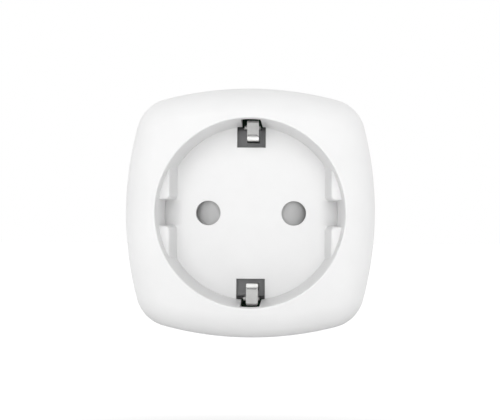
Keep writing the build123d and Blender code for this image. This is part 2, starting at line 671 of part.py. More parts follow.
def main_board():
    """Circuit board, cut away around the posts, the earth straps and the contact tails."""
    face = outline(BOARD_INSET)
    for x, z in corners(POST_XZ):
        face -= Pos(x, z) * Circle(REAR_POST_RADIUS + BOARD_GAP)
    for side in (-1, 1):
        slot = Rectangle(SIDE_CONTACT_WIDTH + 2 * BOARD_GAP, STRIP + 2 * BOARD_GAP)
        face -= Pos(0, side * SIDE_CONTACT_Z) * slot
        face -= Pos(side * PIN_X, TAIL_Z) * Rectangle(TAIL_WIDTH + BOARD_GAP, LEAF_THICKNESS + BOARD_GAP)
        face -= Pos(side * PIN_X, 0) * Circle(PIN_TAIL_RADIUS + PILOT_CLEARANCE)
    for x, z in BOARD_POSTS:
        face -= Pos(x, z) * Circle(BOARD_SCREW_RADIUS + PILOT_CLEARANCE)
    return slab(face, BOARD_FRONT, BOARD_BACK)


def relay_box(inset, front, back):
    """A block of the relay's footprint, drawn in by an inset."""
    return centred_block(RELAY_X, RELAY_Z, RELAY_WIDTH - 2 * inset, RELAY_LENGTH - 2 * inset, front, back)


def relay_case():
    """Hollow cap of the relay."""
    top = BOARD_FRONT - RELAY_HEIGHT
    case = relay_box(0, top, RELAY_BACK)
    case = fillet(case.edges().group_by(Axis.Y)[0], RELAY_ROUND)
    return case - relay_box(RELAY_WALL, top + RELAY_WALL, RELAY_BACK + FIT)


def relay_base():
    """Base plate that closes the relay, with slots for its terminals."""
    plate = relay_box(RELAY_WALL, RELAY_BASE_FRONT, RELAY_BACK)
    for z in (FIXED_TERMINAL_Z, MOVING_TERMINAL_Z):
        plate -= centred_block(RELAY_X, z, TERMINAL_WIDTH, STRIP, RELAY_BASE_FRONT - FIT, BOARD_FRONT)
    return plate


def relay_coil():
    """Wound coil with its two bobbin flanges, on the relay's core."""
    coil = rod(RELAY_X, COIL_Z, COIL_RADIUS, COIL_FRONT, COIL_BACK)
    for front in (COIL_FRONT, COIL_BACK - BOBBIN):
        coil += centred_block(RELAY_X, COIL_Z, BOBBIN_WIDTH, BOBBIN_LENGTH, front, front + BOBBIN)
    return coil - rod(RELAY_X, COIL_Z, CORE_RADIUS, COIL_FRONT - FIT, COIL_BACK + FIT)


def relay_yoke():
    """Iron core with the L-shaped yoke, whose free end the armature rocks on."""
    back = COIL_BACK + YOKE
    yoke = rod(RELAY_X, COIL_Z, CORE_RADIUS, COIL_FRONT - CORE_PROUD, back)
    middle_z = HINGE_Z - YOKE / 2 + YOKE_LENGTH / 2
    yoke += centred_block(RELAY_X, middle_z, YOKE_WIDTH, YOKE_LENGTH, COIL_BACK, back)
    return yoke + centred_block(RELAY_X, HINGE_Z, YOKE_WIDTH, YOKE, ARMATURE_BACK + 2 * FIT, back)


def relay_armature():
    """Plate that the coil pulls in, which rocks on its round end, with the contact arm beyond that."""
    front = ARMATURE_BACK - ARMATURE
    left = RELAY_X - ARMATURE_WIDTH / 2
    right = RELAY_X + ARMATURE_WIDTH / 2
    plate = block(left, right, front, ARMATURE_BACK, HINGE_Z, HINGE_Z + ARMATURE_REACH)
    plate += rod_x(ARMATURE_BACK - ARMATURE / 2, HINGE_Z, ARMATURE / 2, left, right)
    arm_z = HINGE_Z - ARM_REACH / 2
    return plate + centred_block(RELAY_X, arm_z, ARM_WIDTH, ARM_REACH, front, front + ARM_THICKNESS)


def relay_contacts():
    """The fixed contact on its bent terminal, and the terminal of the moving contact."""
    reach = ARMATURE_BACK - ARMATURE - CONTACT_GAP - CONTACT_HEIGHT
    contact_z = HINGE_Z - ARM_REACH + CONTACT_RADIUS
    bent = [(BOARD_FRONT, FIXED_TERMINAL_Z), (reach, FIXED_TERMINAL_Z), (reach, contact_z + CONTACT_RADIUS)]
    left = RELAY_X - TERMINAL_WIDTH / 2
    fixed = strip(bent, RELAY_ROUND, STRIP, left, left + TERMINAL_WIDTH)
    fixed += rod(RELAY_X, contact_z, CONTACT_RADIUS, reach, reach + CONTACT_HEIGHT)
    moving = centred_block(RELAY_X, MOVING_TERMINAL_Z, TERMINAL_WIDTH, STRIP, COIL_FRONT + YOKE, BOARD_FRONT)
    return [fixed, moving]


def rounded_can(x, z, radius, height, rounding):
    """Upright round component with a rounded top."""
    can = rod(x, z, radius, BOARD_FRONT - height, BOARD_FRONT)
    return fillet(can.edges().sort_by(Axis.Y)[0], rounding)


def boxed(x, z, width, length, height, rounding):
    """Upright moulded component with rounded edges."""
    form = centred_block(x, z, width, length, BOARD_FRONT - height, BOARD_FRONT)
    return fillet(form.edges().group_by(Axis.Y)[0], rounding)


def chip(x, z, width, length, height, legs):
    """Surface-mounted chip with legs along two sides."""
    form = centred_block(x, z, width, length, BOARD_FRONT - height, BOARD_FRONT - CHIP_STANDOFF)
    pitch = length / legs
    reach = width + 2 * CHIP_LEG_REACH
    leg_front = BOARD_FRONT - CHIP_LEG_THICKNESS
    for count in range(legs):
        leg_z = z + pitch * (count + 0.5) - length / 2
        form += centred_block(x, leg_z, reach, pitch * 0.4, leg_front, BOARD_FRONT)
    return form


def varistor():
    """Disc varistor standing on its edge on two legs."""
    y = BOARD_FRONT - VARISTOR_LIFT
    disc = Pos(VARISTOR_X, y, VARISTOR_Z) * Rot(0, 90, 0) * Cylinder(VARISTOR_RADIUS, VARISTOR_THICKNESS)
    disc = fillet(disc.edges(), VARISTOR_ROUND)
    for side in (-1, 1):
        z = VARISTOR_Z + side * VARISTOR_LEG_SPREAD / 2
        disc += rod(VARISTOR_X, z, LEG_RADIUS, y + VARISTOR_RADIUS / 2, BOARD_FRONT)
    return disc


def filter_choke():
    """Drum choke with a narrower winding between its flanges."""
    front = BOARD_FRONT - CHOKE_HEIGHT
    drum = rod(CHOKE_X, CHOKE_Z, CHOKE_RADIUS, front, BOARD_FRONT)
    for flange_front in (front, BOARD_FRONT - CHOKE_FLANGE):
        drum += rod(CHOKE_X, CHOKE_Z, CHOKE_FLANGE_RADIUS, flange_front, flange_front + CHOKE_FLANGE)
    return drum


def fusible_resistor():
    """Axial resistor lying above the board on bent legs."""
    y = BOARD_FRONT - RESISTOR_LIFT
    body = Pos(RESISTOR_X, y, 0) * Cylinder(RESISTOR_RADIUS, RESISTOR_LENGTH)
    body = fillet(body.edges(), LEG_RADIUS)
    body += Pos(RESISTOR_X, y, 0) * Cylinder(LEG_RADIUS, RESISTOR_LEG_SPREAD)
    for side in (-1, 1):
        z = side * RESISTOR_LEG_SPREAD / 2
        body += Pos(RESISTOR_X, y, z) * Sphere(LEG_RADIUS)
        body += rod(RESISTOR_X, z, LEG_RADIUS, y, BOARD_FRONT)
    return body


def shunt_strip():
    """Current shunt: a low bridge of resistance alloy."""
    top = BOARD_FRONT - SHUNT_HEIGHT
    low = SHUNT_Z - SHUNT_HALF_SPAN
    high = SHUNT_Z + SHUNT_HALF_SPAN
    points = [(BOARD_FRONT, low), (top, low), (top, high), (BOARD_FRONT, high)]
    return strip(points, SHUNT_ROUND, STRIP, SHUNT_LEFT, SHUNT_LEFT + TERMINAL_WIDTH)


def radio_board():
    """Small board of the radio, standing on the main board."""
    return block(RADIO_LEFT, RADIO_LEFT + RADIO_WIDTH, RADIO_FRONT, BOARD_FRONT, RADIO_LOW, RADIO_TOP)


def radio_shield():
    """Pressed can over the radio's chips."""
    left = RADIO_LEFT + RADIO_THICKNESS
    can = block(left, left + SHIELD_WIDTH, SHIELD_FRONT, SHIELD_BACK, RADIO_TOP, RADIO_TOP + SHIELD_HEIGHT)
    return fillet(can.edges().group_by(Axis.Z)[-1], SHIELD_ROUND)


def radio_antenna():
    """Comb-shaped track at the radio board's free end."""
    left = RADIO_LEFT + RADIO_THICKNESS
    top = RADIO_TOP + TRACK_THICKNESS
    front = RADIO_FRONT + TRACK
    right = left + (TRACK_TURNS - 1) * TRACK_PITCH + TRACK
    comb = block(left, right, front, front + TRACK, RADIO_TOP, top)
    for count in range(TRACK_TURNS):
        x = left + count * TRACK_PITCH
        comb += block(x, x + TRACK, front, front + TRACK_REACH, RADIO_TOP, top)
    return comb


def push_button(flush_form):
    """Round dished cap, flush with the side wall, with a flange inside and a stem to the switch."""
    flange_right = BODY_HALF - WALL - wall_inset(BUTTON_Y) - BUTTON_FLANGE_GAP
    flange_left = flange_right - BUTTON_FLANGE
    cap = rod_x(BUTTON_Y, 0, BUTTON_RADIUS, flange_left, BIG) & flush_form
    dish_x = BODY_HALF - wall_inset(BUTTON_Y) + BUTTON_DISH_RADIUS - BUTTON_DISH_DEPTH
    cap -= Pos(dish_x, BUTTON_Y, 0) * Sphere(BUTTON_DISH_RADIUS)
    cap += rod_x(BUTTON_Y, 0, BUTTON_RADIUS + BUTTON_FLANGE_RIM, flange_left, flange_right)
    return cap + rod_x(BUTTON_Y, 0, BUTTON_STEM_RADIUS, PLUNGER_RIGHT_X + FIT, flange_right)


def switch_body():
    """Right-angle switch with the bore its plunger slides in, on a bracket to the board."""
    front = BUTTON_Y - SWITCH_HALF
    back = BUTTON_Y + SWITCH_HALF
    form = block(SWITCH_LEFT_X, SWITCH_RIGHT_X, front, back, -SWITCH_HALF, SWITCH_HALF)
    bracket_right = SWITCH_LEFT_X + SWITCH_BRACKET
    form += block(SWITCH_LEFT_X, bracket_right, back, BOARD_FRONT, -SWITCH_HALF, SWITCH_HALF)
    bore_left = PLUNGER_LEFT_X - PRESS - FIT
    return form - rod_x(BUTTON_Y, 0, PLUNGER_RADIUS + FIT, bore_left, SWITCH_RIGHT_X + FIT)


def switch_plunger():
    """Plunger of the switch."""
    return rod_x(BUTTON_Y, 0, PLUNGER_RADIUS, PLUNGER_LEFT_X, PLUNGER_RIGHT_X)


def light_pipe(flush_form):
    """Clear rod from the lamp on the board to the side wall."""
    pipe = rod_x(BUTTON_Y, PIPE_Z, PIPE_RADIUS, PIPE_BEND_X, BIG) & flush_form
    pipe += Pos(PIPE_BEND_X, BUTTON_Y, PIPE_Z) * Sphere(PIPE_RADIUS)
    return pipe + rod(PIPE_BEND_X, PIPE_Z, PIPE_RADIUS, BUTTON_Y, BOARD_FRONT - LED_HEIGHT - FIT)


def status_led():
    """Lamp under the light pipe."""
    return centred_block(PIPE_BEND_X, PIPE_Z, LED_WIDTH, LED_LENGTH, BOARD_FRONT - LED_HEIGHT, BOARD_FRONT)


def screw(x, z, radius, head_radius, head, tip, seat):
    """Pan-head screw along Y with a cross recess, its tip at the lower Y."""
    shank = rod(x, z, radius, tip, seat)
    top = rod(x, z, head_radius, seat, seat + head)
    top = fillet(top.edges().sort_by(Axis.Y)[-1], head / 3)
    arm = head_radius * 1.2
    for width, height in ((arm, arm / 4), (arm / 4, arm)):
        top -= centred_block(x, z, width, height, seat + head / 2, seat + 2 * head)
    return chamfer(shank.edges().sort_by(Axis.Y)[0], radius / 2) + top


def housing_screws():
    """The four screws that hold the shells together, driven from the back."""
    size = (SCREW_RADIUS, SCREW_HEAD_RADIUS, SCREW_HEAD, SCREW_TIP, -SCREW_HEAD_DEPTH)
    return [screw(x, z, *size) for x, z in corners(POST_XZ)]


def board_screws():
    """The two screws that hold the board, driven from the front."""
    size = (BOARD_SCREW_RADIUS, BOARD_SCREW_HEAD_RADIUS, BOARD_SCREW_HEAD, -BOARD_SCREW_TIP, -BOARD_FRONT)
    return [Rot(0, 0, 180) * screw(-x, z, *size) for x, z in BOARD_POSTS]


def build():
    """Every piece by its name."""
    body = body_block(0, 0, REAR_ROUND)
    hollow = body_block(WALL, -WALL, REAR_ROUND - WALL)
    flush_form = body_block(BUTTON_RECESS, 0, 0)
    return {
        "front_housing": front_housing(body, hollow),
        "rear_housing": rear_housing(body, hollow),
        "line_pin": plug_pin(-PIN_X),
        "neutral_pin": plug_pin(PIN_X),
        "line_contact": socket_contact(-PIN_X),
        "neutral_contact": socket_contact(PIN_X),
        "contact_carrier": contact_carrier(),
        "shutter": shutter(),
        "shutter_spring": shutter_spring(),
        "earth_strap_top": earth_strap(),
        "earth_strap_bottom": below(earth_strap()),
        "earth_clip_top": earth_tongue(TONGUE_RISE),
        "earth_clip_bottom": below(earth_tongue(-TONGUE_RISE)),
        "earth_bar": earth_bar(),
        "earth_tube": earth_tube(),
        "main_board": main_board(),
        "relay_case": relay_case(),
        "relay_base": relay_base(),
        "relay_coil": relay_coil(),
        "relay_yoke": relay_yoke(),
        "relay_armature": relay_armature(),
        "relay_contacts": relay_contacts(),
        "shunt_strip": shunt_strip(),
        "metering_chip": chip(**METERING_CHIP),
        "filter_capacitor": boxed(**FILTER_CAPACITOR),
        "varistor": varistor(),
        "smoothing_capacitors": [rounded_can(x, z, **SMOOTHING_CAPACITOR) for x, z in SMOOTHING_CAPACITORS],
        "filter_choke": filter_choke(),
        "fusible_resistor": fusible_resistor(),
        "bridge_rectifier": chip(**BRIDGE_RECTIFIER),
        "regulator_chip": chip(**REGULATOR_CHIP),
        "radio_board": radio_board(),
        "radio_shield": radio_shield(),
        "radio_antenna": radio_antenna(),
        "push_button": push_button(flush_form),
        "switch_body": switch_body(),
        "switch_plunger": switch_plunger(),
        "status_led": status_led(),
        "light_pipe": light_pipe(flush_form),
        "housing_screws": housing_screws(),
        "board_screws": board_screws(),
        "rating_label": rating_label(),
    }


def main():
    """Write one file for each piece."""
    os.makedirs("parts", exist_ok=True)
    for name, piece in build().items():
        shapes = piece if isinstance(piece, list) else [piece]
        solids = [solid for shape in shapes for solid in shape.solids()]
        export_step(solids[0] if len(solids) == 1 else Compound(children=solids), f"parts/{name}.step")


main()
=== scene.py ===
"""Looks of the plug-in power meter: its materials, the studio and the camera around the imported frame.

Metres, in the frame's axes: +Y goes into the wall socket, the recess opens towards -Y, +Z is up.
"""

import json
import math

import bpy
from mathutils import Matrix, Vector

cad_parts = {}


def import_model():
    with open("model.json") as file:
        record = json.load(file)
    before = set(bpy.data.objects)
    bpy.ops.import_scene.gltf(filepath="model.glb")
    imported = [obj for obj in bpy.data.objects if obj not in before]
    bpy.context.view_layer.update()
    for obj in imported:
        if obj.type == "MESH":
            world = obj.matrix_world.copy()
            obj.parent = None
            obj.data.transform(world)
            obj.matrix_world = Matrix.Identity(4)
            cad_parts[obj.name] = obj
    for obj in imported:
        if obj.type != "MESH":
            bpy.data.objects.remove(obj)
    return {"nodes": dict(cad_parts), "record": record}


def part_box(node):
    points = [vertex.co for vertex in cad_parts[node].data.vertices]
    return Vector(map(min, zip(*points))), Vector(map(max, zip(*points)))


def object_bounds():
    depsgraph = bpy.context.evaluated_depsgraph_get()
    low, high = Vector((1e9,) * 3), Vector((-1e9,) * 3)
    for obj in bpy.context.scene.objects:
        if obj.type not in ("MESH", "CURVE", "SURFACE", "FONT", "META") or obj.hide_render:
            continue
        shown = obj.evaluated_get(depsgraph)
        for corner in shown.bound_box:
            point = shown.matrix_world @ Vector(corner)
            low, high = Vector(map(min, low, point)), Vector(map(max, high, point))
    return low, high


MM = 0.001

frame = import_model()
nodes = frame["nodes"]
cad_low, cad_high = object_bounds()

# Camera: a short telephoto in front of the recess, a little right of its centre and held slightly askew
IMAGE_WIDTH = 500
SENSOR = 36.0
FOCAL_PIXELS = 1106
CAMERA_AT = Vector((3.3, -271.5, -0.5)) * MM
AIM = Vector((-0.222, -26.0, 0.7)) * MM
ROLL = math.radians(0.38)
CLIP_START = 0.01

# Colours
WHITE = (0.86, 0.86, 0.86)
SOLDER = (0.72, 0.72, 0.7)
FOIL = (0.78, 0.79, 0.8)
FOIL_TINTS = ((0.7, 0.71, 0.72), (0.8, 0.81, 0.82))
INK = (0.04, 0.04, 0.045)

# Moulded plastic: spark-eroded grain, and how far its gloss strays below and above the middle value
PLASTIC_IOR = 1.49
PLASTIC_CLOUD = 9 * MM
PLASTIC_GRAIN = 0.18 * MM
PLASTIC_RELIEF = 0.004 * MM
PLASTIC_WEAR = (-0.03, 0.04)

# Metal: size of stains and streaks, darkest and lightest tint, and how far the gloss strays
METAL_STAIN = 2.5 * MM
METAL_STREAK = 0.12 * MM
METAL_SCRATCH = 0.002 * MM
METAL_TINTS = (0.93, 1.04)
METAL_WEAR = (-0.06, 0.1)

# Resin dip on components
RESIN_IOR = 1.52
RESIN_RUNS = 1.6 * MM
RESIN_SPECKS = 0.5 * MM
RESIN_RELIEF = 0.06 * MM
RESIN_TINTS = (0.85, 1.1)
RESIN_WEAR = (-0.05, 0.08)

# Enamelled wire, with painted shade darkening the gaps between turns
ENAMEL_STAIN = 1.2 * MM
ENAMEL_TINT = 0.85
GAP_PAINTED_SHADE = 0.45
ENAMEL_GLOSS = (0.25, 0.4)

# Circuit board
BOARD_IOR = 1.5
BOARD_PATCH = 5 * MM
BOARD_GLOSS = (0.25, 0.4)
TRACK_PITCH = 1.1 * MM
TRACK_EDGE = (0.62, 0.7)
TRACK_RELIEF = 0.035 * MM
TRACK_TINT = 0.7
VIA_PITCH = 2.2 * MM
VIA_SHARE = 0.13
WEAVE_PITCH = 0.35 * MM
WEAVE_RELIEF = 0.004 * MM

# Printed label: inset of its frame, distance of its rules from the middle, and half the width of a line
LABEL_ROUGHNESS = 0.34
LABEL_BRUSHING = (0.04, 1, 1)
LABEL_FRAME = 0.45 * MM
LABEL_RULE = 0.8 * MM
LABEL_LINE = 0.07 * MM

# Second finishes: where the leads and windings are on their nodes, where painted shade darkens the crease of
# each earth tongue, and which contacts are unpolished
FIT = 0.05 * MM
CHIP_LEG = 0.36 * MM
RESISTOR_HALF = 3.8 * MM
VARISTOR_RADIUS = 5.0 * MM
CHOKE_CORE_RADIUS = 2.5 * MM
COIL_CORE_RADIUS = 3.1 * MM
SIDEWAYS = 0.5
# Painted shade: a dark band along the crease of each earth tongue, where the fold shades itself
CREASE_SHADE_Y = -34.9 * MM
CREASE_SHADE_Z = {"earth_clip_top": 16.6 * MM, "earth_clip_bottom": -16.14 * MM}
CREASE_SHADE_HALF = 0.13 * MM
UNPOLISHED = ("earth_clip", "earth_strap")

# Studio: a floor painted darker near the meter as painted shade and glowing brighter outwards, a tent lit
# from three sides, and one soft box in front
FLOOR_Z = -0.085
FLOOR_HALF = 3.0
FLOOR_NEAR_PAINTED_SHADE = (0.55, 0.55, 0.55)
FLOOR_FAR_SHADE = (0.85, 0.85, 0.85)
FLOOR_GLOW = 0.42
FLOOR_FADE = (0.12, 0.22)
FLOOR_MOTTLE = 0.04
FLOOR_TINT = 1.02
FLOOR_ROUGHNESS = 0.9
OVERHEAD = 0.7
BESIDE = 0.5
BEHIND = 0.6
FRONT_BOX = Vector((-0.04, -1.0, 0.1))
FRONT_SIZE = 0.5
FRONT_POWER = 3.95


class Look:
    """A material whose nodes are added one call at a time, with sizes in metres and the frame's axes."""

    def __init__(self, name, sockets):
        self.name = name
        self.material = bpy.data.materials.new(name)
        self.material.use_nodes = True
        self.tree = self.material.node_tree
        self.tree.nodes.clear()
        self.shader = self.add("ShaderNodeBsdfPrincipled", sockets)
        output = self.add("ShaderNodeOutputMaterial")
        self.tree.links.new(self.shader.outputs[0], output.inputs["Surface"])
        self.place = self.add("ShaderNodeTexCoord").outputs["Object"]
        self.x, self.y, self.z = self.add("ShaderNodeSeparateXYZ", {"Vector": self.place}).outputs

    def add(self, kind, sockets=None, **settings):
        """Adds a node. A socket's value is a number, a vector or another node's output."""
        node = self.tree.nodes.new(kind)
        for name, value in settings.items():
            setattr(node, name, value)
        for name, value in (sockets or {}).items():
            if isinstance(value, bpy.types.NodeSocket):
                self.tree.links.new(value, node.inputs[name])
            else:
                node.inputs[name].default_value = value
        return node

    def wire(self, **outputs):
        """Drives sockets of the shader; Base_Color stands for Base Color."""
        for name, output in outputs.items():
            self.tree.links.new(output, self.shader.inputs[name.replace("_", " ")])

    def math(self, operation, first, second=0.0):
        """One step of arithmetic."""
        return self.add("ShaderNodeMath", {0: first, 1: second}, operation=operation).outputs[0]

    def line(self, value, place, half_width):
        """1 where a value is within half a line's width of a place, 0 elsewhere."""
        sockets = {0: value, 1: place, 2: half_width}
        return self.add("ShaderNodeMath", sockets, operation="COMPARE").outputs[0]

    def noise(self, size, detail=2.0, stretch=(1, 1, 1)):
        """Noise with features about that many metres across."""
        scale = [amount / size for amount in stretch]
        place = self.add("ShaderNodeMapping", {"Vector": self.place, "Scale": scale}).outputs[0]
        sockets = {"Vector": place, "Scale": 1.0, "Detail": detail}
        return self.add("ShaderNodeTexNoise", sockets).outputs["Fac"]

    def cells(self, size, metric, output):
        """Distance from the middle of a random cell, or the cell's own random colour."""
        sockets = {"Vector": self.place, "Scale": 1 / size}
        return self.add("ShaderNodeTexVoronoi", sockets, distance=metric).outputs[output]

    def ridges(self, coordinate, pitch):
        """A wave from 0 to 1 that repeats along a coordinate."""
        wave = self.math("SINE", self.math("MULTIPLY", coordinate, math.tau / pitch))
        return self.spread(wave, 0.0, 1.0, -1.0, 1.0)

    def spread(self, value, low, high, start=0.3, end=0.7):
        """A value that runs from start to end, spread between two numbers."""
        sockets = {"Value": value, "From Min": start, "From Max": end, "To Min": low, "To Max": high}
        return self.add("ShaderNodeMapRange", sockets).outputs[0]

    def between(self, value, low, high, start=0.3, end=0.7):
        """A colour between two colours."""
        ramp = self.add("ShaderNodeValToRGB", {"Fac": value})
        for element, position, colour in zip(ramp.color_ramp.elements, (start, end), (low, high)):
            element.position = position
            element.color = (*colour, 1)
        return ramp.outputs[0]

    def blend(self, amount, first, second):
        """First colour where the amount is 0, second where it is 1."""
        mix = self.add("ShaderNodeMix", data_type="RGBA")
        for socket, value in zip((mix.inputs[0], mix.inputs[6], mix.inputs[7]), (amount, first, second)):
            if isinstance(value, bpy.types.NodeSocket):
                self.tree.links.new(value, socket)
            else:
                socket.default_value = (*value, 1)
        return mix.outputs[2]

    def bump(self, height, depth, over=None):
        """Relief of that many metres, on top of another relief if there is one."""
        bump = self.add("ShaderNodeBump", {"Height": height, "Distance": depth})
        if over:
            self.tree.links.new(over, bump.inputs["Normal"])
        self.wire(Normal=bump.outputs[0])
        return bump.outputs[0]


def shade(colour, factor):
    """The colour made lighter or darker."""
    return tuple(min(1.0, channel * factor) for channel in colour)


def tints(colour, factors):
    """The darkest and the lightest tint of a colour."""
    return [shade(colour, factor) for factor in factors]


def moulded(name, colour, roughness, grain=PLASTIC_GRAIN, relief=PLASTIC_RELIEF, cloudiness=0.015, **sockets):
    """Moulded plastic: fine spark-eroded grain with a faint cloudiness in colour and gloss."""
    look = Look(name, {"IOR": PLASTIC_IOR, **sockets})
    cloud = look.noise(PLASTIC_CLOUD, 3.0)
    look.wire(
        Base_Color=look.between(cloud, *tints(colour, (1 - cloudiness, 1 + cloudiness))),
        Roughness=look.spread(cloud, *[roughness + wear for wear in PLASTIC_WEAR]),
    )
    look.bump(look.noise(grain, 3.0), relief)
    return look


def metal(name, colour, roughness, stretch, scratch=METAL_SCRATCH):
    """Stamped or plated metal: streaks, long where the stretch is small, with soft stains and worn gloss."""
    look = Look(name, {"Metallic": 1.0})
    stain = look.noise(METAL_STAIN, 3.0)
    streak = look.noise(METAL_STREAK, 2.0, stretch)
    look.wire(
        Base_Color=look.between(stain, *tints(colour, METAL_TINTS)),
        Roughness=look.spread(streak, *[roughness + wear for wear in METAL_WEAR]),
    )
    look.bump(streak, scratch)
    return look


def dipped(name, colour, roughness):
    """Component dipped in resin: glossy, with soft runs and dimples."""
    look = Look(name, {"IOR": RESIN_IOR})
    runs = look.noise(RESIN_RUNS, 1.0)
    look.wire(
        Base_Color=look.between(look.noise(RESIN_SPECKS, 3.0), *tints(colour, RESIN_TINTS)),
        Roughness=look.spread(runs, *[roughness + wear for wear in RESIN_WEAR]),
    )
    look.bump(runs, RESIN_RELIEF)
    return look


def wound(name, colour, coordinate, pitch):
    """Enamelled wire in even turns, stacked along one of x, y and z, with painted shade in the gaps between
    turns.
    """
    look = Look(name, {"Metallic": 1.0, "Coat Weight": 0.6, "Coat Roughness": 0.15})
    turns = look.ridges(getattr(look, coordinate), pitch)
    stain = look.noise(ENAMEL_STAIN, 3.0)
    enamel = look.between(stain, shade(colour, ENAMEL_TINT), colour)
    # Painted shade: the gaps between turns are darker than the enamel
    look.wire(
        Base_Color=look.blend(turns, shade(colour, GAP_PAINTED_SHADE), enamel),
        Roughness=look.spread(stain, *ENAMEL_GLOSS),
    )
    look.bump(turns, pitch / 2)
    return look


def circuit_board(name, mask, laminate):
    """Solder mask with tinned vias, over tracks that run across in some patches and along in others."""
    look = Look(name, {"IOR": BOARD_IOR})
    patches = look.cells(BOARD_PATCH, "CHEBYCHEV", "Color")
    patch = look.add("ShaderNodeSeparateColor", {"Color": patches}).outputs[0]
    across = look.ridges(look.x, TRACK_PITCH)
    along = look.ridges(look.z, TRACK_PITCH)
    chosen = look.math("GREATER_THAN", patch, 0.5)
    lanes = look.add("ShaderNodeMix", {0: chosen, 2: across, 3: along}).outputs[0]
    tracks = look.spread(lanes, 0.0, 1.0, *TRACK_EDGE)
    via = look.math("LESS_THAN", look.cells(VIA_PITCH, "EUCLIDEAN", "Distance"), VIA_SHARE)
    weave = look.math("MULTIPLY", look.ridges(look.x, WEAVE_PITCH), look.ridges(look.z, WEAVE_PITCH))
    cover = look.blend(tracks, shade(mask, TRACK_TINT), look.between(weave, mask, laminate))
    look.wire(
        Base_Color=look.blend(via, cover, SOLDER),
        Metallic=via,
        Roughness=look.spread(weave, *BOARD_GLOSS, 0.0, 1.0),
    )
    look.bump(weave, WEAVE_RELIEF, look.bump(tracks, TRACK_RELIEF))
    return look


def printed_label(name, low, high):
    """Brushed foil with a printed frame and rules, and no lettering."""
    look = metal(name, FOIL, LABEL_ROUGHNESS, LABEL_BRUSHING)
    middle, half = (low + high) / 2, (high - low) / 2
    off_x = look.math("ABSOLUTE", look.math("SUBTRACT", look.x, middle.x))
    off_z = look.math("ABSOLUTE", look.math("SUBTRACT", look.z, middle.z))
    inset_x = look.math("SUBTRACT", half.x, off_x)
    inset_z = look.math("SUBTRACT", half.z, off_z)
    inset = look.math("MINIMUM", inset_x, inset_z)
    frame_line = look.line(inset, LABEL_FRAME, LABEL_LINE)
    rule = look.line(off_z, LABEL_RULE, LABEL_LINE)
    within = look.math("GREATER_THAN", inset, 2 * LABEL_FRAME)
    ink = look.math("MAXIMUM", frame_line, look.math("MULTIPLY", rule, within))
    foil = look.between(look.noise(METAL_STAIN, 3.0), *FOIL_TINTS)
    look.wire(
        Base_Color=look.blend(ink, foil, INK),
        Metallic=look.spread(ink, 1.0, 0.0, 0.0, 1.0),
    )
    return look


finishes = (
    moulded("white_plastic", WHITE, 0.36),
    moulded("shutter_plastic", (0.54, 0.54, 0.54), 0.45),
    moulded("dark_plastic", (0.23, 0.23, 0.235), 0.5, relief=0.008 * MM),
    metal("nickel_plate", (0.74, 0.73, 0.71), 0.24, (1, 0.03, 1), scratch=0.0008 * MM),
    metal("satin_nickel", (0.78, 0.78, 0.77), 0.62, (0.05, 1, 1), scratch=0.006 * MM),
    metal("contact_brass", (0.6, 0.42, 0.17), 0.5, (1, 0.06, 1)),
    metal("spring_steel", (0.6, 0.6, 0.6), 0.3, (1, 1, 0.1)),
    circuit_board("circuit_board", (0.02, 0.15, 0.06), (0.05, 0.25, 0.1)),
    moulded("relay_plastic", (0.03, 0.03, 0.033), 0.5, relief=0.01 * MM, cloudiness=0.08),
    wound("copper_winding", (0.75, 0.33, 0.16), "y", 0.16 * MM),
    metal("soft_iron", (0.42, 0.42, 0.41), 0.42, (1, 1, 1), scratch=0.006 * MM),
    metal("shunt_alloy", (0.52, 0.47, 0.4), 0.35, (1, 1, 0.1)),
    moulded("chip_plastic", (0.025, 0.025, 0.027), 0.62, 0.08 * MM, 0.012 * MM, 0.1),
    dipped("film_capacitor", (0.75, 0.5, 0.05), 0.32),
    dipped("varistor_coat", (0.04, 0.12, 0.45), 0.25),
    moulded("capacitor_sleeve", (0.03, 0.03, 0.07), 0.26, 0.5 * MM, 0.01 * MM, 0.1),
    dipped("resistor_coat", (0.15, 0.35, 0.25), 0.35),
    moulded("switch_plastic", (0.6, 0.03, 0.02), 0.4, cloudiness=0.05),
    moulded("lamp_plastic", (0.85, 0.83, 0.65), 0.3, cloudiness=0.04),
    moulded("clear_plastic", (0.9, 0.93, 0.95), 0.12, **{"Transmission Weight": 0.9}),
    printed_label("label_foil", *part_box("rating_label")),
    metal("tinned_wire", SOLDER, 0.24, (1, 0.1, 1)),
    # dark_steel gives the painted shade along the crease of each earth tongue
    metal("dark_steel", (0.36, 0.36, 0.36), 0.6, (0.1, 1, 1)),
    moulded("bobbin_plastic", (0.55, 0.5, 0.38), 0.45, cloudiness=0.05),
    metal("can_aluminium", (0.82, 0.82, 0.83), 0.3, (0.1, 1, 1)),
)
looks = {look.name: look for look in finishes}


def paint(node_name, look_name, chosen):
    """Gives some faces of a node a second finish, chosen by their centre and normal."""
    mesh = nodes[node_name].data
    mesh.materials.append(looks[look_name].material)
    second = len(mesh.materials) - 1
    for face in mesh.polygons:
        if chosen(face.center, face.normal):
            face.material_index = second


def first_finishes():
    """Gives each node the look of its material slot. The earth contacts are left unpolished."""
    for subpart in frame["record"]["subparts"]:
        name = subpart["node"]
        finish = "satin_nickel" if name.startswith(UNPOLISHED) else subpart["material_slot"]
        mesh = nodes[name].data
        mesh.materials.clear()
        mesh.materials.append(looks[finish].material)


def around(node_name, radius):
    """Says whether a face lies round a core of that radius, whose axis runs along y in the node's middle."""
    low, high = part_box(node_name)
    middle = (low + high) / 2

    def chosen(centre, normal):
        reach = math.hypot(centre.x - middle.x, centre.z - middle.z)
        return reach < radius and abs(normal.y) < SIDEWAYS

    return chosen


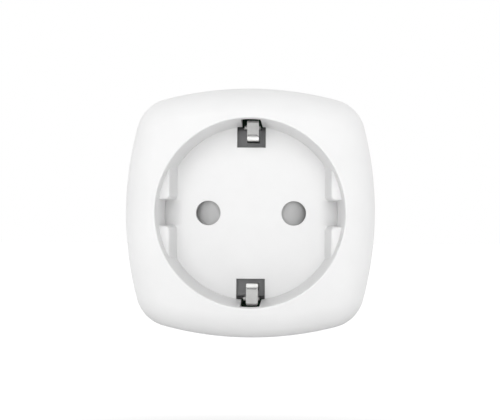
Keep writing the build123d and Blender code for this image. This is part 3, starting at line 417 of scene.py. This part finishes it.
def second_finishes():
    """Leads, windings, can tops, bobbin flanges, and painted shade along the crease of each earth tongue."""
    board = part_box("main_board")[0].y
    for chip in ("metering_chip", "bridge_rectifier", "regulator_chip"):
        paint(chip, "tinned_wire", lambda centre, normal: centre.y > board - CHIP_LEG)

    paint("fusible_resistor", "tinned_wire", lambda centre, normal: abs(centre.z) > RESISTOR_HALF)

    disc_low, disc_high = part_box("varistor")
    disc_y = disc_low.y + VARISTOR_RADIUS
    disc_z = (disc_low.z + disc_high.z) / 2
    disc_edge = VARISTOR_RADIUS + FIT
    paint(
        "varistor",
        "tinned_wire",
        lambda centre, normal: math.hypot(centre.y - disc_y, centre.z - disc_z) > disc_edge,
    )

    can_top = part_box("smoothing_capacitors")[0].y + FIT
    paint("smoothing_capacitors", "can_aluminium", lambda centre, normal: centre.y < can_top)

    on_choke = around("filter_choke", CHOKE_CORE_RADIUS)
    paint("filter_choke", "copper_winding", on_choke)
    on_coil = around("relay_coil", COIL_CORE_RADIUS)
    paint("relay_coil", "bobbin_plastic", lambda centre, normal: not on_coil(centre, normal))

    # Painted shade: a band of dark steel along the crease of each earth tongue, where the fold's shade falls
    for tongue, crease in CREASE_SHADE_Z.items():
        paint(
            tongue,
            "dark_steel",
            lambda centre, normal: abs(centre.z - crease) < CREASE_SHADE_HALF and centre.y < CREASE_SHADE_Y,
        )


def soft_box(name, place, target, size, power):
    """A square area light that faces a point."""
    light = bpy.data.lights.new(name, "AREA")
    light.shape = "SQUARE"
    light.size = size
    light.energy = power
    lamp = bpy.data.objects.new(name, light)
    lamp.location = place
    lamp.rotation_euler = (Vector(target) - Vector(place)).to_track_quat("-Z", "Y").to_euler()
    bpy.context.scene.collection.objects.link(lamp)


def floor():
    """A pale floor under the meter, painted darker near it as painted shade, that glows brighter to pure
    white further out, like the sweep of a cove.
    """
    bpy.ops.mesh.primitive_plane_add(size=2 * FLOOR_HALF, location=(0, 0, FLOOR_Z))
    plane = bpy.context.object
    plane.name = "studio_floor"
    look = Look("studio_floor", {"Roughness": FLOOR_ROUGHNESS})
    reach = look.add("ShaderNodeVectorMath", {"Vector": look.place}, operation="LENGTH").outputs["Value"]
    # Painted shade: the floor's colour is darker near the meter, which dims the light it throws back onto the
    # meter's underside
    painted_shade_near = look.between(look.noise(FLOOR_MOTTLE, 3.0), FLOOR_NEAR_PAINTED_SHADE, shade(FLOOR_NEAR_PAINTED_SHADE, FLOOR_TINT))
    far = look.spread(reach, 0.0, 1.0, *FLOOR_FADE)
    look.wire(
        Base_Color=look.blend(far, painted_shade_near, FLOOR_FAR_SHADE),
        Emission_Strength=look.math("MULTIPLY", far, FLOOR_GLOW),
    )
    look.shader.inputs["Emission Color"].default_value = (1, 1, 1, 1)
    plane.data.materials.append(look.material)


def world():
    """A white tent, lit from overhead, behind and both sides; the camera sees it as pure white."""
    scene = bpy.context.scene
    scene.world = bpy.data.worlds.new("studio")
    scene.world.use_nodes = True
    tree = scene.world.node_tree

    def math_node(operation, first, second=0.0):
        node = tree.nodes.new("ShaderNodeMath")
        node.operation = operation
        for socket, value in zip(node.inputs, (first, second)):
            if isinstance(value, bpy.types.NodeSocket):
                tree.links.new(value, socket)
            else:
                socket.default_value = value
        return node.outputs[0]

    split = tree.nodes.new("ShaderNodeSeparateXYZ")
    tree.links.new(tree.nodes.new("ShaderNodeTexCoord").outputs["Generated"], split.inputs[0])
    overhead = math_node("MULTIPLY", math_node("MAXIMUM", split.outputs["Z"]), OVERHEAD)
    beside = math_node("MULTIPLY", math_node("ABSOLUTE", split.outputs["X"]), BESIDE)
    behind = math_node("MULTIPLY", math_node("MAXIMUM", split.outputs["Y"]), BEHIND)
    strength = math_node("ADD", math_node("ADD", overhead, beside), behind)
    light = tree.nodes["Background"]
    light.inputs["Color"].default_value = (1, 1, 1, 1)
    tree.links.new(strength, light.inputs["Strength"])
    seen = tree.nodes.new("ShaderNodeBackground")
    seen.inputs["Color"].default_value = (1, 1, 1, 1)
    mix = tree.nodes.new("ShaderNodeMixShader")
    path = tree.nodes.new("ShaderNodeLightPath")
    tree.links.new(path.outputs["Is Camera Ray"], mix.inputs[0])
    tree.links.new(light.outputs[0], mix.inputs[1])
    tree.links.new(seen.outputs[0], mix.inputs[2])
    tree.links.new(mix.outputs[0], tree.nodes["World Output"].inputs["Surface"])


def camera():
    """The camera in front of the recess."""
    lens = bpy.data.cameras.new("camera")
    lens.sensor_width = SENSOR
    lens.lens = SENSOR * FOCAL_PIXELS / IMAGE_WIDTH
    lens.clip_start = CLIP_START
    eye = bpy.data.objects.new("camera", lens)
    eye.location = CAMERA_AT
    eye.rotation_euler = (AIM - CAMERA_AT).to_track_quat("-Z", "Y").to_euler()
    eye.rotation_euler.rotate_axis("Z", ROLL)
    bpy.context.scene.collection.objects.link(eye)
    bpy.context.scene.camera = eye


first_finishes()
second_finishes()
floor()
world()
camera()
soft_box("front_box", FRONT_BOX, (cad_low + cad_high) / 2, FRONT_SIZE, FRONT_POWER)
bpy.context.scene.view_settings.view_transform = "Standard"
